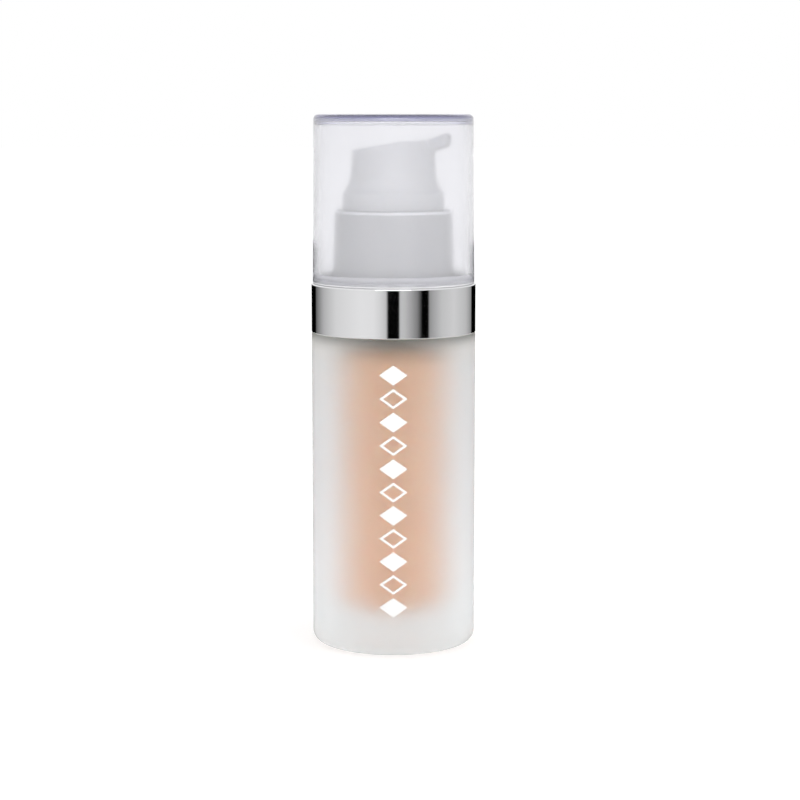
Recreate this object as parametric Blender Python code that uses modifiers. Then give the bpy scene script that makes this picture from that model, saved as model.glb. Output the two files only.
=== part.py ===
"""Foundation bottle: a heavy frosted glass bottle, a screw-on dispensing pump and a milky overcap.

Metres, +Z up. The origin is the middle of the base, and the pump's axis is the Z axis.
Each turned part is a profile of (radius, height) points that run down its outer side. The pump's
parts are drawn with heights measured from the neck's sealing face, and placed on it.
"""

import math

import bmesh
import bpy
from mathutils import Matrix, Vector

MM = 0.001

# Driving dimensions of the outside.
BODY_RADIUS = 19.0 * MM
SHOULDER_Z = 72.7 * MM
COLLAR_HEIGHT = 11.2 * MM
CAP_TOP_Z = 122.9 * MM
GAP = 0.3 * MM

# Bottle.
CAVITY_RADIUS = 13.2 * MM
CAVITY_FLOOR_Z = 7.9 * MM
CAVITY_FLOOR_FILLET = 4.0 * MM
CAVITY_CEILING_Z = SHOULDER_Z - 2.7 * MM
CAVITY_CEILING_FILLET = 3.5 * MM
HEEL_FILLET = 2.4 * MM
SHOULDER_FILLET = 0.6 * MM
CONTACT_RING_OUTER = BODY_RADIUS - HEEL_FILLET
CONTACT_RING_INNER = 12.5 * MM
PUNT_DEPTH = 0.8 * MM
NECK_HEIGHT = 12.6 * MM
NECK_RADIUS = 8.75 * MM
NECK_BORE_RADIUS = 6.4 * MM
NECK_TOP_Z = SHOULDER_Z + NECK_HEIGHT
FILL_LEVEL_Z = CAVITY_CEILING_Z - 1.6 * MM

# Screw thread of the neck and the closure.
THREAD_PITCH = 3.175 * MM
THREAD_TURNS = 1.5
THREAD_START_Z = SHOULDER_Z + 5.0 * MM
GLASS_BEAD_RADIUS = 0.8 * MM
GLASS_BEAD_CENTRE = 8.95 * MM
CLOSURE_BEAD_RADIUS = 0.75 * MM
CLOSURE_BEAD_CENTRE = 9.95 * MM
CLOSURE_BORE_RADIUS = 10.05 * MM

# Collar, closure and shroud.
COLLAR_Z = SHOULDER_Z + GAP
COLLAR_TOP_Z = COLLAR_Z + COLLAR_HEIGHT
COLLAR_WALL = 0.4 * MM
COLLAR_EDGE = 0.15 * MM
COLLAR_OPENING_RADIUS = 16.95 * MM
SEAT_RING_RADIUS = 16.6 * MM
SHROUD_BASE_RADIUS = 14.3 * MM
SHROUD_TOP_RADIUS = 13.5 * MM
SHROUD_TOP_Z = 101.2 * MM
SHROUD_WALL = 1.0 * MM
SHROUD_OPENING_RADIUS = 12.05 * MM
ROOF_Z = NECK_TOP_Z + 2.8 * MM
ROOF_HOLE_RADIUS = 6.9 * MM

# Overcap.
CAP_RIM_Z = COLLAR_TOP_Z + GAP
CAP_RIM_RADIUS = 18.7 * MM
CAP_TOP_RADIUS = 18.4 * MM
CAP_WALL = 1.5 * MM
CAP_CORNER = 1.2 * MM
SNAP_BEAD_RADIUS = SEAT_RING_RADIUS + 0.35 * MM

# Actuator.
ACTUATOR_Z = 98.4 * MM
FLANGE_RADIUS = 12.15 * MM
SKIRT_RADIUS = 11.7 * MM
SKIRT_TOP_Z = ACTUATOR_Z + 3.5 * MM
FLARE_RADIUS = 7.2 * MM
FLARE_CENTRE_Z = ACTUATOR_Z + 11.5 * MM
BUTTON_RADIUS = 9.35 * MM
BUTTON_WALL = 1.2 * MM
HOLLOW_WAIST_Z = ACTUATOR_Z + 10.0 * MM
BUTTON_CEILING_Z = ACTUATOR_Z + 13.3 * MM
NOZZLE_ROOT = 3.0 * MM
NOZZLE_REACH = 13.3 * MM
NOZZLE_TOP_Z = ACTUATOR_Z + 20.3 * MM
NOZZLE_WIDTH = 6.4 * MM
NOZZLE_HEIGHT = 3.1 * MM
NOZZLE_TURN = math.radians(-20.0)
BOSS_RADIUS = 4.3 * MM
BOSS_Z = ACTUATOR_Z - 1.6 * MM
ELBOW_Z = ACTUATOR_Z + 13.7 * MM
RISER_RADIUS = 1.2 * MM
ORIFICE_RADIUS = 0.9 * MM
TOP_SWEEP_RADIUS = 200.0 * MM
TOP_SWEEP_CENTRE = Vector((-34.0 * MM, 0.0, ACTUATOR_Z + 214.7 * MM))
TOP_SWEEP_FACETS = 256

# Pump, with heights from the neck's sealing face.
BARREL_RADIUS = 5.4 * MM
BARREL_BORE_RADIUS = 4.3 * MM
SPRING_SEAT = -26.2 * MM
BARREL_END = SPRING_SEAT - 1.2 * MM
CONE_END = SPRING_SEAT - 3.4 * MM
NIPPLE_RADIUS = 3.4 * MM
NIPPLE_END = -34.9 * MM
NIPPLE_BORE_RADIUS = 2.25 * MM
BALL_RADIUS = 1.6 * MM
BALL_HEIGHT = -29.2 * MM
TUBE_RADIUS = 1.95 * MM
TUBE_BORE_RADIUS = 1.25 * MM
TUBE_END_Z = 9.5 * MM
TUBE_GRIP = 3.2 * MM
STEM_RADIUS = 2.6 * MM
STEM_BORE_RADIUS = 1.3 * MM
STEM_TOP = 17.5 * MM
STEM_END = -2.3 * MM
ROD_RADIUS = 1.7 * MM
ROD_TOP = 0.9 * MM
ROD_HEAD_END = -12.4 * MM
SPRING_WIRE_RADIUS = 0.3 * MM
SPRING_MEAN_RADIUS = 3.0 * MM
SPRING_TURNS = 7
SPRING_LENGTH = 13.2 * MM

# Small drilled holes.
HOLE_RADIUS = 0.4 * MM
HOLE_FACETS = 8

# Facets around the axis.
WIDE = 40
NARROW = 24
SMALL = 16
SHARP_ANGLE = math.radians(32.0)


def clear_scene():
    for obj in list(bpy.data.objects):
        bpy.data.objects.remove(obj, do_unlink=True)


def new_collection(name, hidden=False):
    collection = bpy.data.collections.new(name)
    collection.hide_render = hidden
    bpy.context.scene.collection.children.link(collection)
    return collection


def principled(name, color, roughness, metallic=0.0, transmission=0.0):
    material = bpy.data.materials.new(name)
    material.use_nodes = True
    shader = material.node_tree.nodes["Principled BSDF"]
    shader.inputs["Base Color"].default_value = (*color, 1.0)
    shader.inputs["Roughness"].default_value = roughness
    shader.inputs["Metallic"].default_value = metallic
    shader.inputs["Transmission Weight"].default_value = transmission
    return material


def arc(centre, radius, start, end, steps=4):
    """Points of an arc about (radius, height), from the start to the end angle in degrees."""
    points = []
    for step in range(steps + 1):
        angle = math.radians(start + (end - start) * step / steps)
        points.append((centre[0] + radius * math.cos(angle), centre[1] + radius * math.sin(angle)))
    return points


def turned(name, profile, segments, collection, base_z=0.0):
    """Turns a profile about Z. One that starts and ends on the axis is open, any other is a ring's loop."""
    on_axis = profile[0][0] == 0.0 and profile[-1][0] == 0.0
    edges = [(i, i + 1) for i in range(len(profile) - 1)]
    if not on_axis:
        edges.append((len(profile) - 1, 0))
    mesh = bpy.data.meshes.new(name)
    mesh.from_pydata([(radius, 0.0, height) for radius, height in profile], edges, [])
    obj = bpy.data.objects.new(name, mesh)
    obj.location.z = base_z
    collection.objects.link(obj)
    screw = obj.modifiers.new("Turn", "SCREW")
    screw.axis = "Z"
    screw.steps = segments
    screw.render_steps = segments
    screw.use_merge_vertices = True
    screw.merge_threshold = 0.00001
    return obj


def cylinder(name, radius, start, end, segments, collection):
    """Closed cylinder between two points."""
    mesh = bpy.data.meshes.new(name)
    shape = bmesh.new()
    direction = end - start
    middle = Matrix.Translation((start + end) / 2)
    turn = direction.to_track_quat("Z", "Y").to_matrix().to_4x4()
    bmesh.ops.create_cone(
        shape,
        cap_ends=True,
        segments=segments,
        radius1=radius,
        radius2=radius,
        depth=direction.length,
        matrix=middle @ turn,
    )
    shape.to_mesh(mesh)
    shape.free()
    obj = bpy.data.objects.new(name, mesh)
    collection.objects.link(obj)
    return obj


def block(name, size, centre, collection):
    mesh = bpy.data.meshes.new(name)
    shape = bmesh.new()
    bmesh.ops.create_cube(shape, size=1.0, matrix=Matrix.Translation(centre) @ Matrix.Diagonal((*size, 1.0)))
    shape.to_mesh(mesh)
    shape.free()
    obj = bpy.data.objects.new(name, mesh)
    collection.objects.link(obj)
    return obj


def helix(name, radius, rise, turns, start_z, wire_radius, taper, points_per_turn, collection):
    """Round wire wound about Z: rise(turn) is its height above the start. Its ends thin out over taper turns."""
    thin = 0.35
    count = int(round(turns * points_per_turn)) + 1
    curve = bpy.data.curves.new(name, "CURVE")
    curve.dimensions = "3D"
    curve.bevel_depth = wire_radius
    curve.bevel_resolution = 2
    curve.use_fill_caps = True
    spline = curve.splines.new("POLY")
    spline.points.add(count - 1)
    for index, point in enumerate(spline.points):
        turn = turns * index / (count - 1)
        angle = 2.0 * math.pi * turn
        point.co = (radius * math.cos(angle), radius * math.sin(angle), start_z + rise(turn), 1.0)
        if taper:
            point.radius = thin + (1.0 - thin) * min(1.0, turn / taper, (turns - turn) / taper)
    obj = bpy.data.objects.new(name, curve)
    collection.objects.link(obj)
    return obj


def as_mesh(curve_object, collection):
    """The curve's tube as a mesh object with welded caps, in place of the curve."""
    bpy.context.view_layer.update()
    graph = bpy.context.evaluated_depsgraph_get()
    mesh = bpy.data.meshes.new_from_object(curve_object.evaluated_get(graph))
    shape = bmesh.new()
    shape.from_mesh(mesh)
    bmesh.ops.remove_doubles(shape, verts=shape.verts, dist=0.000001)
    bmesh.ops.recalc_face_normals(shape, faces=shape.faces)
    shape.to_mesh(mesh)
    shape.free()
    name = curve_object.name
    obj = bpy.data.objects.new(name + "_solid", mesh)
    obj.matrix_world = curve_object.matrix_world.copy()
    collection.objects.link(obj)
    bpy.data.objects.remove(curve_object)
    return obj


def combine(obj, other, operation):
    boolean = obj.modifiers.new(other.name, "BOOLEAN")
    boolean.operation = operation
    boolean.solver = "EXACT"
    boolean.object = other


def apply_modifiers(obj):
    """Replaces the object's mesh by what its modifiers make of it."""
    bpy.context.view_layer.update()
    graph = bpy.context.evaluated_depsgraph_get()
    obj.data = bpy.data.meshes.new_from_object(obj.evaluated_get(graph))
    obj.modifiers.clear()


def thread_bead(name, centre_radius, bead_radius, start_z, cutters):
    taper = 0.12
    points_per_turn = 36

    def rise(turn):
        return THREAD_PITCH * turn

    curve = helix(name, centre_radius, rise, THREAD_TURNS, start_z, bead_radius, taper, points_per_turn, cutters)
    return as_mesh(curve, cutters)


def glass_bottle(parts, cutters):
    """Thick-walled cylinder with a rounded heel, a shallow punt and a threaded neck."""
    lip = 0.5 * MM
    root = 1.0 * MM
    profile = []
    profile += arc((NECK_RADIUS - lip, NECK_TOP_Z - lip), lip, 90, 0, 2)
    profile += arc((NECK_RADIUS + root, SHOULDER_Z + root), root, 180, 270, 2)
    profile += arc((BODY_RADIUS - SHOULDER_FILLET, SHOULDER_Z - SHOULDER_FILLET), SHOULDER_FILLET, 90, 0, 2)
    profile += arc((CONTACT_RING_OUTER, HEEL_FILLET), HEEL_FILLET, 0, -90, 4)
    profile += [(CONTACT_RING_INNER, 0.0)]
    profile += [(CONTACT_RING_INNER - 2.0 * MM, PUNT_DEPTH)]
    profile += [(0.0, PUNT_DEPTH)]
    bottle = turned("glass_bottle", [(0.0, NECK_TOP_Z)] + profile, WIDE, parts)
    bead = thread_bead("neck_thread", GLASS_BEAD_CENTRE, GLASS_BEAD_RADIUS, THREAD_START_Z, cutters)
    combine(bottle, bead, "UNION")
    above = NECK_TOP_Z + 1.0 * MM
    chamfer = 0.8 * MM
    cavity = [(0.0, above), (NECK_BORE_RADIUS, above)]
    cavity += [(NECK_BORE_RADIUS, CAVITY_CEILING_Z + chamfer), (NECK_BORE_RADIUS + chamfer, CAVITY_CEILING_Z)]
    ceiling_centre = (CAVITY_RADIUS - CAVITY_CEILING_FILLET, CAVITY_CEILING_Z - CAVITY_CEILING_FILLET)
    cavity += arc(ceiling_centre, CAVITY_CEILING_FILLET, 90, 0, 3)
    floor_centre = (CAVITY_RADIUS - CAVITY_FLOOR_FILLET, CAVITY_FLOOR_Z + CAVITY_FLOOR_FILLET)
    cavity += arc(floor_centre, CAVITY_FLOOR_FILLET, 0, -90, 3)
    cavity += [(0.0, CAVITY_FLOOR_Z)]
    combine(bottle, turned("bottle_cavity", cavity, WIDE, cutters), "DIFFERENCE")
    return bottle


def foundation_fill(parts, _cutters):
    """Liquid up to its level, with a pocket that clears the pump barrel and the dip tube."""
    clear = 0.4 * MM
    radius = CAVITY_RADIUS - GAP
    barrel_end = NECK_TOP_Z + BARREL_END
    cone_end = NECK_TOP_Z + CONE_END
    profile = [(BARREL_RADIUS + clear, FILL_LEVEL_Z)]
    upper = CAVITY_CEILING_FILLET - GAP
    start = math.degrees(math.asin((FILL_LEVEL_Z - CAVITY_CEILING_Z + CAVITY_CEILING_FILLET) / upper))
    profile += arc((radius - upper, CAVITY_CEILING_Z - CAVITY_CEILING_FILLET), upper, start, 0, 3)
    lower = CAVITY_FLOOR_FILLET - GAP
    profile += arc((radius - lower, CAVITY_FLOOR_Z + CAVITY_FLOOR_FILLET), lower, 0, -90, 3)
    profile += [(0.0, CAVITY_FLOOR_Z + GAP), (0.0, TUBE_END_Z - clear)]
    profile += [(TUBE_RADIUS + clear, TUBE_END_Z - clear)]
    profile += [(TUBE_RADIUS + clear, NECK_TOP_Z + NIPPLE_END - clear)]
    profile += [(NIPPLE_RADIUS + clear, NECK_TOP_Z + NIPPLE_END - clear)]
    profile += [(NIPPLE_RADIUS + clear, cone_end - clear)]
    profile += [(BARREL_RADIUS + clear, barrel_end - clear)]
    return turned("foundation_fill", profile, WIDE, parts)


def threaded_closure(parts, cutters):
    """Screw cap with a threaded sleeve, an outer skirt, the overcap's seat ring and a roof with a hole."""
    bottom = COLLAR_Z + 0.3 * MM
    deck = COLLAR_TOP_Z - COLLAR_WALL - GAP
    deck_underside = deck - 1.5 * MM
    skirt = BODY_RADIUS - COLLAR_WALL - GAP
    skirt_inner = skirt - 1.0 * MM
    roof_top = ROOF_Z + 1.4 * MM
    tower = 11.9 * MM
    sleeve = 11.5 * MM
    seat_inner = SEAT_RING_RADIUS - 1.0 * MM
    seat_top = COLLAR_TOP_Z + 1.8 * MM
    edge = 0.3 * MM
    profile = [(ROOF_HOLE_RADIUS, roof_top)]
    profile += [(tower - edge, roof_top), (tower, roof_top - edge), (tower, deck)]
    profile += [(seat_inner, deck), (seat_inner, seat_top - edge)]
    profile += [(seat_inner + edge, seat_top), (SEAT_RING_RADIUS - edge, seat_top)]
    profile += [(SEAT_RING_RADIUS, seat_top - edge), (SEAT_RING_RADIUS, deck)]
    profile += [(skirt - edge, deck), (skirt, deck - edge), (skirt, bottom)]
    profile += [(skirt_inner, bottom), (skirt_inner, deck_underside)]
    profile += [(sleeve, deck_underside), (sleeve, bottom), (CLOSURE_BORE_RADIUS, bottom)]
    profile += [(CLOSURE_BORE_RADIUS, ROOF_Z), (ROOF_HOLE_RADIUS, ROOF_Z)]
    closure = turned("threaded_closure", profile, WIDE, parts)
    start_z = THREAD_START_Z - THREAD_PITCH / 2
    bead = thread_bead("closure_thread", CLOSURE_BEAD_CENTRE, CLOSURE_BEAD_RADIUS, start_z, cutters)
    combine(closure, bead, "UNION")
    return closure


def collar_shell(parts, _cutters):
    """Drawn metal band with a flange turned in over the closure's deck."""
    inner = BODY_RADIUS - COLLAR_WALL
    profile = [(COLLAR_OPENING_RADIUS, COLLAR_TOP_Z)]
    profile += arc((BODY_RADIUS - COLLAR_EDGE, COLLAR_TOP_Z - COLLAR_EDGE), COLLAR_EDGE, 90, 0, 3)
    profile += arc((BODY_RADIUS - COLLAR_EDGE, COLLAR_Z + COLLAR_EDGE), COLLAR_EDGE, 0, -60, 2)
    profile += [(inner, COLLAR_Z + COLLAR_EDGE)]
    profile += [(inner, COLLAR_TOP_Z - COLLAR_WALL), (COLLAR_OPENING_RADIUS, COLLAR_TOP_Z - COLLAR_WALL)]
    return turned("collar_shell", profile, WIDE, parts)


def pump_shroud(parts, _cutters):
    """Tapered tube with a rounded rim, standing on the closure's deck around the actuator."""
    base_z = COLLAR_TOP_Z - COLLAR_WALL
    rim = 1.1 * MM
    chamfer = 0.2 * MM
    lip_z = SHROUD_TOP_Z - 1.0 * MM
    inner_base = SHROUD_BASE_RADIUS - SHROUD_WALL
    inner_top = SHROUD_TOP_RADIUS - SHROUD_WALL
    profile = [(SHROUD_OPENING_RADIUS + chamfer, SHROUD_TOP_Z)]
    profile += arc((SHROUD_TOP_RADIUS - rim, SHROUD_TOP_Z - rim), rim, 90, 0, 4)
    profile += [(SHROUD_BASE_RADIUS, base_z), (inner_base, base_z)]
    profile += [(inner_top, lip_z - 0.5 * MM), (SHROUD_OPENING_RADIUS, lip_z)]
    profile += [(SHROUD_OPENING_RADIUS, SHROUD_TOP_Z - chamfer)]
    return turned("pump_shroud", profile, WIDE, parts)


def overcap(parts, _cutters):
    """Cup upside down, with a thick top plate, a rounded top corner and a snap bead inside the rim."""
    inner_top = CAP_TOP_Z - CAP_WALL
    wall_top = CAP_TOP_RADIUS - CAP_WALL
    wall_rim = CAP_RIM_RADIUS - CAP_WALL
    fillet = 1.0 * MM
    chamfer = 0.2 * MM
    bead_low = CAP_RIM_Z + 0.6 * MM
    bead_high = CAP_RIM_Z + 1.0 * MM
    profile = [(0.0, CAP_TOP_Z)]
    profile += arc((CAP_TOP_RADIUS - CAP_CORNER, CAP_TOP_Z - CAP_CORNER), CAP_CORNER, 90, 0, 5)
    profile += [(CAP_RIM_RADIUS, CAP_RIM_Z + chamfer), (CAP_RIM_RADIUS - chamfer, CAP_RIM_Z)]
    profile += [(wall_rim + chamfer, CAP_RIM_Z), (SNAP_BEAD_RADIUS, bead_low)]
    profile += [(SNAP_BEAD_RADIUS, bead_high), (wall_rim, bead_high + 0.7 * MM)]
    profile += arc((wall_top - fillet, inner_top - fillet), fillet, 0, 90, 3)
    profile += [(0.0, inner_top)]
    return turned("overcap", profile, WIDE, parts)


def nozzle_beak(cutters):
    """Tapered bar from inside the button out to the nozzle's mouth."""
    mouth_width_share = 0.72
    root_drop = 3.4 * MM
    length = NOZZLE_REACH - NOZZLE_ROOT
    centre = Vector((NOZZLE_ROOT + length / 2, 0.0, NOZZLE_TOP_Z - NOZZLE_HEIGHT / 2))
    beak = block("nozzle_beak", (length, NOZZLE_WIDTH, NOZZLE_HEIGHT), centre, cutters)
    for vertex in beak.data.vertices:
        if vertex.co.x > centre.x:
            vertex.co.y *= mouth_width_share
        elif vertex.co.z < centre.z:
            vertex.co.z -= root_drop
    bevel = beak.modifiers.new("Round", "BEVEL")
    bevel.width = 0.7 * MM
    bevel.segments = 2
    return beak


def actuator(parts, cutters):
    """Push button: flared skirt, swept top, side nozzle, hollow underside and a boss for the stem."""
    blank_top = NOZZLE_TOP_Z + 2.0 * MM
    flange_top = ACTUATOR_Z + 0.7 * MM
    flare_centre = (BUTTON_RADIUS + 0.4 * MM + FLARE_RADIUS, FLARE_CENTRE_Z)
    profile = [(0.0, blank_top), (BUTTON_RADIUS - 0.2 * MM, blank_top)]
    profile += arc(flare_centre, FLARE_RADIUS, 180, 222, 5)
    profile += [(SKIRT_RADIUS, SKIRT_TOP_Z), (SKIRT_RADIUS, flange_top + 0.2 * MM)]
    profile += [(FLANGE_RADIUS, flange_top), (FLANGE_RADIUS, ACTUATOR_Z), (0.0, ACTUATOR_Z)]
    body = turned("actuator", profile, WIDE, parts)
    combine(body, nozzle_beak(cutters), "UNION")

    reach = Vector((0.0, 30.0 * MM, 0.0))
    low_end = TOP_SWEEP_CENTRE - reach
    high_end = TOP_SWEEP_CENTRE + reach
    sweep = cylinder("top_sweep", TOP_SWEEP_RADIUS, low_end, high_end, TOP_SWEEP_FACETS, cutters)
    combine(body, sweep, "DIFFERENCE")
    combine(body, underside_hollow(cutters), "DIFFERENCE")

    axis = Vector((0.0, 0.0, 1.0))
    boss_top = BUTTON_CEILING_Z + 0.5 * MM
    boss = cylinder("stem_boss", BOSS_RADIUS, axis * BOSS_Z, axis * boss_top, WIDE, cutters)
    combine(body, boss, "UNION")

    stem_top = NECK_TOP_Z + STEM_TOP
    socket_low = axis * (BOSS_Z - 1.0 * MM)
    socket_high = axis * (stem_top + GAP)
    socket = cylinder("stem_socket", STEM_RADIUS + GAP, socket_low, socket_high, SMALL, cutters)
    combine(body, socket, "DIFFERENCE")
    elbow = axis * ELBOW_Z
    riser = cylinder("riser", RISER_RADIUS, axis * stem_top, elbow + axis * GAP, SMALL, cutters)
    combine(body, riser, "DIFFERENCE")
    mouth_z = NOZZLE_TOP_Z - NOZZLE_HEIGHT / 2 + 0.25 * MM
    mouth = Vector((NOZZLE_REACH + 1.0 * MM, 0.0, mouth_z))
    orifice = cylinder("orifice", ORIFICE_RADIUS, elbow, mouth, 12, cutters)
    combine(body, orifice, "DIFFERENCE")
    apply_modifiers(body)
    body.rotation_euler.z = NOZZLE_TURN
    return body


def underside_hollow(cutters):
    wall = SKIRT_RADIUS - BUTTON_WALL
    ceiling = BUTTON_RADIUS - BUTTON_WALL
    below = ACTUATOR_Z - 1.0 * MM
    profile = [(0.0, BUTTON_CEILING_Z), (ceiling, BUTTON_CEILING_Z), (ceiling + 0.1 * MM, HOLLOW_WAIST_Z)]
    profile += [(wall, SKIRT_TOP_Z), (wall, below), (0.0, below)]
    return turned("underside_hollow", profile, WIDE, cutters)


def pump_part(name, profile_mm, segments, parts):
    """Turned pump part whose profile is in millimetres from the sealing face."""
    profile = [(radius * MM, height * MM) for radius, height in profile_mm]
    return turned(name, profile, segments, parts, NECK_TOP_Z)


def neck_gasket(parts, _cutters):
    profile = [(6.8, 1.1), (8.4, 1.1), (8.6, 0.9), (8.6, 0.3), (6.8, 0.3)]
    return pump_part("neck_gasket", profile, NARROW, parts)


def pump_housing(parts, cutters):
    """Barrel with a flange, a spring seat, a ball chamber over its conical seat, and a tube nipple."""
    barrel = BARREL_RADIUS / MM
    bore = BARREL_BORE_RADIUS / MM
    seat = SPRING_SEAT / MM
    nipple = NIPPLE_RADIUS / MM
    nipple_end = NIPPLE_END / MM
    nipple_bore = NIPPLE_BORE_RADIUS / MM
    tube_stop = nipple_end + 3.5
    throat = 1.1
    throat_top = tube_stop + 0.5
    chamber = 2.0
    chamber_floor = throat_top + 1.2
    tab = 1.35
    profile = [(bore, 2.5), (9.1, 2.5), (9.3, 2.3), (9.3, 1.4), (barrel, 1.4)]
    profile += [(barrel, BARREL_END / MM), (nipple, CONE_END / MM), (nipple, nipple_end + 0.3)]
    profile += [(nipple - 0.3, nipple_end), (nipple_bore, nipple_end), (nipple_bore, tube_stop), (throat, tube_stop)]
    profile += [(throat, throat_top), (chamber, chamber_floor), (chamber, seat - 0.6), (tab, seat - 0.5)]
    profile += [(tab, seat), (bore, seat)]
    housing = pump_part("pump_housing", profile, NARROW, parts)
    slot_centre = Vector((0.0, 0.0, NECK_TOP_Z + SPRING_SEAT - 0.27 * MM))
    slot_length = 4.4 * MM
    slot_width = 0.9 * MM
    slot_depth = 0.75 * MM
    for index, (across, along) in enumerate(((slot_length, slot_width), (slot_width, slot_length))):
        slot = block(f"tab_slot_{index}", (across, along, slot_depth), slot_centre, cutters)
        combine(housing, slot, "DIFFERENCE")
    vent_z = NECK_TOP_Z - 6.0 * MM
    vent_start = Vector((3.0 * MM, 0.0, vent_z))
    vent_end = Vector((7.0 * MM, 0.0, vent_z))
    vent = cylinder("vent", HOLE_RADIUS, vent_start, vent_end, HOLE_FACETS, cutters)
    combine(housing, vent, "DIFFERENCE")
    return housing


def chaplet(parts, _cutters):
    """Guide sleeve with a head that stands through the closure's roof and holds the stem seal."""
    head = 6.5
    head_top = 5.5
    head_bottom = 2.8
    sleeve = 3.95
    sleeve_end = -2.1
    bore = 3.0
    seal_pocket = 4.5
    pocket_floor = 3.9
    profile = [(seal_pocket, head_top), (head - 0.3, head_top), (head, head_top - 0.3), (head, head_bottom)]
    profile += [(sleeve, head_bottom), (sleeve, sleeve_end), (bore, sleeve_end)]
    profile += [(bore, pocket_floor), (seal_pocket, pocket_floor)]
    return pump_part("chaplet", profile, NARROW, parts)


def stem_seal(parts, _cutters):
    profile = [(2.95, 5.1), (4.0, 5.1), (4.2, 4.9), (4.2, 4.2), (2.95, 4.2)]
    return pump_part("stem_seal", profile, NARROW, parts)


def outlet_stem(parts, _cutters):
    """Hollow stem, wide at its foot for the rod."""
    radius = STEM_RADIUS / MM
    bore = STEM_BORE_RADIUS / MM
    top = STEM_TOP / MM
    end = STEM_END / MM
    socket = ROD_RADIUS / MM + 0.3
    socket_top = ROD_TOP / MM + 0.3
    profile = [(bore, top), (radius - 0.3, top), (radius, top - 0.3), (radius, end), (socket, end)]
    profile += [(socket, socket_top), (bore, socket_top)]
    return pump_part("outlet_stem", profile, NARROW, parts)


def piston_rod(parts, cutters):
    """Rod with a conical valve head and a blind bore that two cross holes feed."""
    radius = ROD_RADIUS / MM
    top = ROD_TOP / MM
    end = ROD_HEAD_END / MM
    bore = 0.85
    bore_floor = end + 2.6
    head = 3.4
    profile = [(bore, top), (radius - 0.2, top), (radius, top - 0.2), (radius, end + 2.2), (head, end + 0.9)]
    profile += [(head, end + 0.4), (head - 0.4, end), (0.0, end), (0.0, bore_floor), (bore, bore_floor)]
    rod = pump_part("piston_rod", profile, NARROW, parts)
    centre = Vector((0.0, 0.0, NECK_TOP_Z + ROD_HEAD_END + 3.1 * MM))
    reach = 2.5 * MM
    for index, side in enumerate((Vector((1.0, 0.0, 0.0)), Vector((0.0, 1.0, 0.0)))):
        port_ends = (centre - side * reach, centre + side * reach)
        port = cylinder(f"port_{index}", HOLE_RADIUS, *port_ends, HOLE_FACETS, cutters)
        combine(rod, port, "DIFFERENCE")
    return rod


def piston(parts, _cutters):
    """Sleeve with a sealing lip at each end and a waist between them."""
    top = -3.4
    end = -10.0
    bore = ROD_RADIUS / MM + 0.3
    lip = BARREL_BORE_RADIUS / MM - 0.3
    waist = lip - 0.5
    profile = [(bore, top), (2.9, top), (3.2, top - 0.8), (lip - 0.4, top - 0.2), (lip, top - 0.2)]
    profile += [(lip, top - 0.7), (waist, top - 1.6), (waist, end + 1.7), (lip, end + 0.7)]
    profile += [(lip, end + 0.2), (lip - 0.4, end + 0.2), (3.2, end + 0.9), (2.9, end + 0.3)]
    profile += [(2.5, end), (bore, end)]
    return pump_part("piston", profile, NARROW, parts)


def return_spring(parts, _cutters):
    """Compression spring whose end turns lie flat."""
    wire = SPRING_WIRE_RADIUS
    full_rise = SPRING_LENGTH - 2.0 * wire
    flat_rise = 2.2 * wire
    pitch = (full_rise - 2.0 * flat_rise) / (SPRING_TURNS - 2)
    points_per_turn = 14

    def rise(turn):
        if turn < 1.0:
            return flat_rise * turn
        if turn > SPRING_TURNS - 1.0:
            return full_rise - flat_rise * (SPRING_TURNS - turn)
        return flat_rise + pitch * (turn - 1.0)

    start_z = NECK_TOP_Z + SPRING_SEAT + GAP + wire
    return helix(
        "return_spring", SPRING_MEAN_RADIUS, rise, SPRING_TURNS, start_z, wire, 0.0, points_per_turn, parts
    )


def inlet_ball(parts, _cutters):
    mesh = bpy.data.meshes.new("inlet_ball")
    shape = bmesh.new()
    bmesh.ops.create_uvsphere(shape, u_segments=SMALL, v_segments=10, radius=BALL_RADIUS)
    shape.to_mesh(mesh)
    shape.free()
    ball = bpy.data.objects.new("inlet_ball", mesh)
    ball.location.z = NECK_TOP_Z + BALL_HEIGHT
    parts.objects.link(ball)
    return ball


def dip_tube(parts, cutters):
    """Straight tube whose lower end is cut at a slant."""
    top = NECK_TOP_Z + NIPPLE_END + TUBE_GRIP
    profile = [(TUBE_BORE_RADIUS, top), (TUBE_RADIUS, top)]
    profile += [(TUBE_RADIUS, TUBE_END_Z), (TUBE_BORE_RADIUS, TUBE_END_Z)]
    tube = turned("dip_tube", profile, SMALL, parts)
    slant = math.radians(32.0)
    depth = 8.0 * MM
    wedge_size = (12.0 * MM, 8.0 * MM, depth)
    wedge = block("tube_slant", wedge_size, Vector((0.0, 0.0, 0.0)), cutters)
    wedge.rotation_euler.y = slant
    low_edge = Vector((1.5 * MM, 0.0, TUBE_END_Z))
    wedge.location = low_edge - Vector((math.sin(slant), 0.0, math.cos(slant))) * depth / 2
    combine(tube, wedge, "DIFFERENCE")
    return tube


def finish(obj, material):
    """Gives the part its material, and smooth shading with sharp profile edges."""
    if obj.type == "MESH":
        apply_modifiers(obj)
        obj.data.shade_smooth()
        obj.data.set_sharp_from_angle(angle=SHARP_ANGLE)
    obj.data.materials.append(material)


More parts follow.
